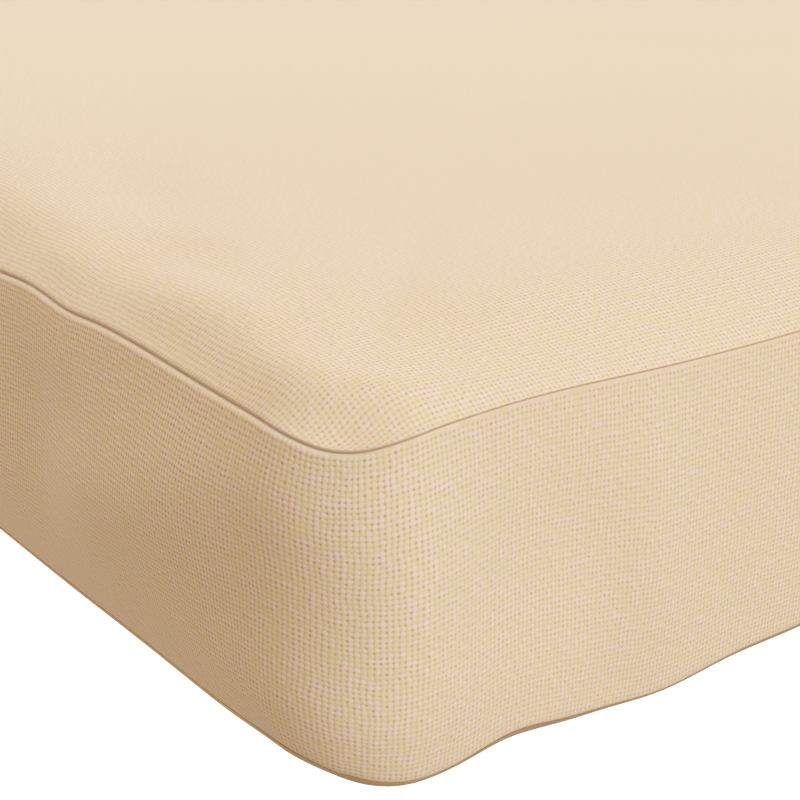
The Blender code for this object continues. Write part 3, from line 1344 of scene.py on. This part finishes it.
@dataclass
class CoverPanel:
    """One large panel of the cover: a sheet of canvas held at its edges by the seam."""

    shape: CushionShape
    face: PanelFace
    finish: CanvasWeave
    node: str
    slot: str
    thickness: float = 0.5 * MM
    seam_allowance: float = 12 * MM

    def grid(self) -> tuple[bmesh.types.BMesh, Places]:
        """Makes the flat grid of the panel and tells where its points belong.

        Returns:
            The bmesh, and its vertices as places on the cover.
        """
        plan = self.shape.plan
        bm = bmesh.new()
        bmesh.ops.create_grid(
            bm, x_segments=len(plan.columns) - 1, y_segments=len(plan.rows) - 1, size=0.5
        )
        if self.face is PanelFace.BOTTOM:
            bmesh.ops.reverse_faces(bm, faces=bm.faces)
        columns = np.tile(plan.columns, len(plan.rows))
        rows = np.repeat(plan.rows, len(plan.columns))
        return bm, plan.places(columns, rows)

    def outer_points(self, places: Places) -> np.ndarray:
        """Lays the panel's points out on its outer face."""
        lay_out = self.shape.crown if self.face is PanelFace.TOP else self.shape.base
        return lay_out(places)

    def cloth_points(self, places: Places) -> np.ndarray:
        """Gives each point's place on the flat cloth, so that the weave runs on over the rim.

        Args:
            places: The panel's points.

        Returns:
            One u and v for each point, in metres.
        """
        shape = self.shape
        x, y, out_x, out_y = shape.plan.outline(places, 0.0)
        inset = shape.plan.rounded_inset(x, y)
        over = []
        for width in (shape.rim_width.on_long, shape.rim_width.on_end):
            whole = shape.cloth_excess(np.array([width]), width)
            over.append(whole - shape.cloth_excess(inset, width))
        over = shape.between_sides(places, Sides(*over))
        return np.stack([x + out_x * over, y + out_y * over], axis=1)

    def build(self) -> bpy.types.Object:
        """Returns:
            The finished piece.
        """
        bm, places = self.grid()
        name = f"{self.face.value}_panel_cloth"
        piece = finish_mesh(bm, name, self.outer_points(places), self.finish.material())
        lay_cloth(piece, self.cloth_points(places)[corner_vertices(piece.data)])
        mark(piece, SEAM_NAME, places.near)
        mark(piece, SLACK_NAME, self.shape.panel_slackness(places))
        # Painted shade under the rim of the bottom panel.
        if self.face is PanelFace.BOTTOM:
            mark(piece, SHADE_NAME, self.shape.floor_shade(places))
        cloth = piece.modifiers.new("cloth thickness", "SOLIDIFY")
        cloth.thickness = self.thickness
        cloth.offset = -1
        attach(piece, BODY)
        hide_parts(self.node)
        return piece


@dataclass
class FilledBody:
    """The firm filling with the boxing band sewn round it, under both panels."""

    shape: CushionShape
    finish: CanvasWeave
    top: CoverPanel
    bottom: CoverPanel
    node: str
    slot: str
    first_row: float = 0.14 * MM
    row_growth: float = 1.25
    widest_row: float = 3.2 * MM
    clearance: float = 0.15 * MM
    # Where the painted highlight on the lip starts and fades, and its share on each side.
    lip_highlight_starts: float = 0.5 * MM
    lip_highlight_fades: float = 1.5 * MM
    lip_highlight_share: Sides = Sides(1.0, -0.6)
    fill: float = 0.9

    def shares(self) -> np.ndarray:
        """Places the rows of the boxing band, close together at both seams.

        Returns:
            The rows' heights as shares of the band, from 0 to 1.
        """
        marks = [0.0]
        step = self.first_row
        half = self.shape.boxing_height / 2
        while marks[-1] + step < half:
            marks.append(marks[-1] + step)
            step = min(step * self.row_growth, self.widest_row)
        lower = np.array(marks) / self.shape.boxing_height
        return np.concatenate([lower, [0.5], 1 - lower[::-1]])

    def under(self, panel: CoverPanel, material: bpy.types.Material) -> np.ndarray:
        """Gives the filling's face under a panel, by row and column.

        Args:
            panel: The panel that lies on it.
            material: The filling's material.

        Returns:
            Points just inside the panel's inner face.
        """
        bm, places = panel.grid()
        piece = finish_mesh(bm, "filling face", panel.outer_points(places), material)
        normals = np.empty(len(piece.data.vertices) * 3, np.float32)
        piece.data.vertex_normals.foreach_get("vector", normals)
        remove_piece(piece)
        depth = panel.thickness + self.clearance
        inner = panel.outer_points(places) - normals.reshape(-1, 3) * depth
        on_edge = places.near < TOUCH
        drop = self.shape.seam_gap + self.clearance
        inner[on_edge, 2] += drop if panel.face is PanelFace.BOTTOM else -drop
        plan = self.shape.plan
        return inner.reshape(len(plan.rows), len(plan.columns), 3)

    def build(self) -> bpy.types.Object:
        """Returns:
            The finished piece.
        """
        plan = self.shape.plan
        shares = self.shares()
        layers = len(shares) + 1
        cells = (len(plan.columns) - 1, len(plan.rows) - 1, layers)
        bm = box_of_cells(cells)
        material = self.finish.material()
        piece = finish_mesh(bm, "cushion_body", None, material)
        unit = vertex_places(piece.data)
        column, row, layer = np.rint(unit * cells).astype(int).T
        places = plan.places(plan.columns[column], plan.rows[row])
        share = shares[np.clip(layer - 1, 0, len(shares) - 1)]
        corners = self.shape.boxing(places, share)
        for face, level in ((self.bottom, 0), (self.top, layers)):
            here = layer == level
            corners[here] = self.under(face, material)[row[here], column[here]]
        piece.data.vertices.foreach_set("co", corners.astype(np.float32).ravel())
        piece.data.update()
        self.wrap_cloth(piece, column, row, layer, shares)
        self.mark_seams_and_lip_highlight(piece, places, corners)
        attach(piece, BODY)
        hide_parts(self.node)
        return piece

    def mark_seams_and_lip_highlight(self, piece: bpy.types.Object, places: Places, corners: np.ndarray) -> None:
        """Tells the material how far the seams are, and where a highlight is painted on the lip that
        rolls over the top seam.

        Args:
            piece: The body.
            places: Its vertices as places on the cover.
            corners: Their coordinates.
        """
        level = np.ones_like(places.near)
        from_top = np.linalg.norm(corners - self.shape.boxing(places, level), axis=1)
        from_bottom = np.linalg.norm(corners - self.shape.boxing(places, 0 * level), axis=1)
        mark(piece, SEAM_NAME, np.minimum(from_top, from_bottom))
        # Painted highlight: a band just below the top seam, on the long sides, lightened in colour.
        starts = np.clip(from_top / self.lip_highlight_starts, 0, 1) ** 2
        ends = 1 - np.clip((from_top - self.lip_highlight_starts) / self.lip_highlight_fades, 0, 1)
        share = np.maximum(self.shape.between_sides(places, self.lip_highlight_share), 0)
        mark(piece, LIP_HIGHLIGHT_NAME, starts * ends * share)
        mark(piece, SLACK_NAME, self.shape.between_sides(places, self.shape.boxing_slack))

    def wrap_cloth(
        self,
        piece: bpy.types.Object,
        column: np.ndarray,
        row: np.ndarray,
        layer: np.ndarray,
        shares: np.ndarray,
    ) -> None:
        """Lays the boxing's cloth round the body, with its join at the back left corner.

        Args:
            piece: The body, made of four-sided faces.
            column: Each vertex's column.
            row: Each vertex's row.
            layer: Each vertex's layer.
            shares: The rows of the boxing band.
        """
        plan = self.shape.plan
        around = plan.perimeter(plan.columns[column], plan.rows[row])
        upright = shares[np.clip(layer - 1, 0, len(shares) - 1)] * self.shape.boxing_height
        yarns = round(plan.girth / (2 * self.finish.along_pitch)) * 2
        stretch = yarns * self.finish.along_pitch / plan.girth
        at_corner = corner_vertices(piece.data).reshape(-1, 4)
        travel = around[at_corner]
        wraps = np.ptp(travel, axis=1, keepdims=True) > plan.girth / 2
        travel = np.where(wraps & (travel < plan.girth / 2), travel + plan.girth, travel)
        flat = np.stack([travel * stretch, upright[at_corner]], axis=2)
        lay_cloth(piece, flat.reshape(-1, 2))


@dataclass(frozen=True)
class SoftLight:
    """A large, far softbox, told by the side of the cushion it stands on."""

    name: str
    toward: tuple[float, float, float]
    strength: float
    colour: str
    spread: float = 75.0


SOFT_LIGHTS = (
    SoftLight("end softbox", (1.0, 0.0, 0.5), 0.889, "#cee6ff"),
    SoftLight("back softbox", (0.0, 1.0, 0.7), 0.38, "#c0dcff"),
    SoftLight("far softbox", (-1.0, 0.0, 0.5), 0.49, "#f4ffff"),
)


@dataclass
class Studio:
    """The floor, the lights and the camera."""

    floor_size: float = 240.0
    lens: float = 88.07
    sensor: float = 36.0
    clip: tuple[float, float] = (0.01, 100)
    camera_place: tuple[float, float, float] = (0.8940, -0.4413, 0.2281)
    camera_pitch: float = 21.40
    camera_heading: float = 54.48
    ambient_colour: str = "#ffdaad"
    ambient_strength: float = 0.501
    lights: tuple[SoftLight, ...] = SOFT_LIGHTS

    def add_floor(self) -> bpy.types.Object:
        """Adds the plain pale floor, which is lit so evenly that it takes no shadow.

        Returns:
            The floor.
        """
        bm = bmesh.new()
        bmesh.ops.create_grid(bm, x_segments=1, y_segments=1, size=self.floor_size / 2)
        floor = finish_mesh(bm, "studio_floor", None, StudioSweep().material())
        floor.visible_diffuse = False
        floor.visible_glossy = False
        floor.visible_shadow = False
        return floor

    def add_camera(self) -> bpy.types.Object:
        """Adds the camera, in front of the front right corner and a little above it.

        Returns:
            The camera.
        """
        data = bpy.data.cameras.new("camera")
        data.lens = self.lens
        data.sensor_width = self.sensor
        data.clip_start, data.clip_end = self.clip
        camera = bpy.data.objects.new("camera", data)
        bpy.context.scene.collection.objects.link(camera)
        pitch = math.radians(self.camera_pitch)
        heading = math.radians(self.camera_heading)
        forward = Vector(
            (
                -math.sin(heading) * math.cos(pitch),
                math.cos(heading) * math.cos(pitch),
                -math.sin(pitch),
            )
        )
        camera.location = self.camera_place
        camera.rotation_euler = forward.to_track_quat("-Z", "Y").to_euler()
        bpy.context.scene.camera = camera
        return camera

    def add_softbox(self, plan: SoftLight) -> bpy.types.Object:
        """Adds one softbox, so far off that it lights every part of the cushion alike.

        Args:
            plan: Where it stands, and its strength, colour and width.

        Returns:
            The light.
        """
        data = bpy.data.lights.new(plan.name, "SUN")
        data.energy = plan.strength * math.pi
        data.angle = math.radians(plan.spread)
        data.color = linear_colour(plan.colour)[:3]
        light = bpy.data.objects.new(plan.name, data)
        bpy.context.scene.collection.objects.link(light)
        light.rotation_euler = (-Vector(plan.toward)).to_track_quat("-Z", "Y").to_euler()
        return light

    def add_ambient(self) -> None:
        """Lights everything evenly from all round."""
        world = bpy.data.worlds.new("studio")
        world.use_nodes = True
        background = world.node_tree.nodes["Background"]
        background.inputs["Color"].default_value = linear_colour(self.ambient_colour)
        background.inputs["Strength"].default_value = self.ambient_strength
        bpy.context.scene.world = world

    def build(self) -> None:
        """Sets the whole studio up."""
        self.add_floor()
        self.add_camera()
        self.add_ambient()
        for plan in self.lights:
            self.add_softbox(plan)
        bpy.context.scene.view_settings.view_transform = "Standard"
        bpy.context.scene.view_settings.look = "None"


def main() -> None:
    """Builds the cushion piece by piece and sets up the studio."""
    logging.basicConfig(level=logging.INFO, format="%(message)s")
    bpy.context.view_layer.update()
    low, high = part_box("top_panel")
    plan = CushionPlan(length=high.x - low.x, depth=high.y - low.y)
    shape = CushionShape(plan)
    press = FillingPress(shape)
    press.simulate()
    shape.press = press
    canvas = CanvasWeave("spun polyester canvas")
    top = CoverPanel(shape, PanelFace.TOP, canvas, "top_panel", "top_panel_cloth")
    bottom = CoverPanel(shape, PanelFace.BOTTOM, canvas, "bottom_panel", "bottom_panel_cloth")
    body = FilledBody(shape, canvas, top, bottom, "boxed_body", "boxing_cloth")
    for part in (top, bottom, body):
        piece = part.build()
        log.info("%s: %d faces", piece.name, len(piece.data.polygons))
    Studio().build()


if __name__ == "__main__":
    main()
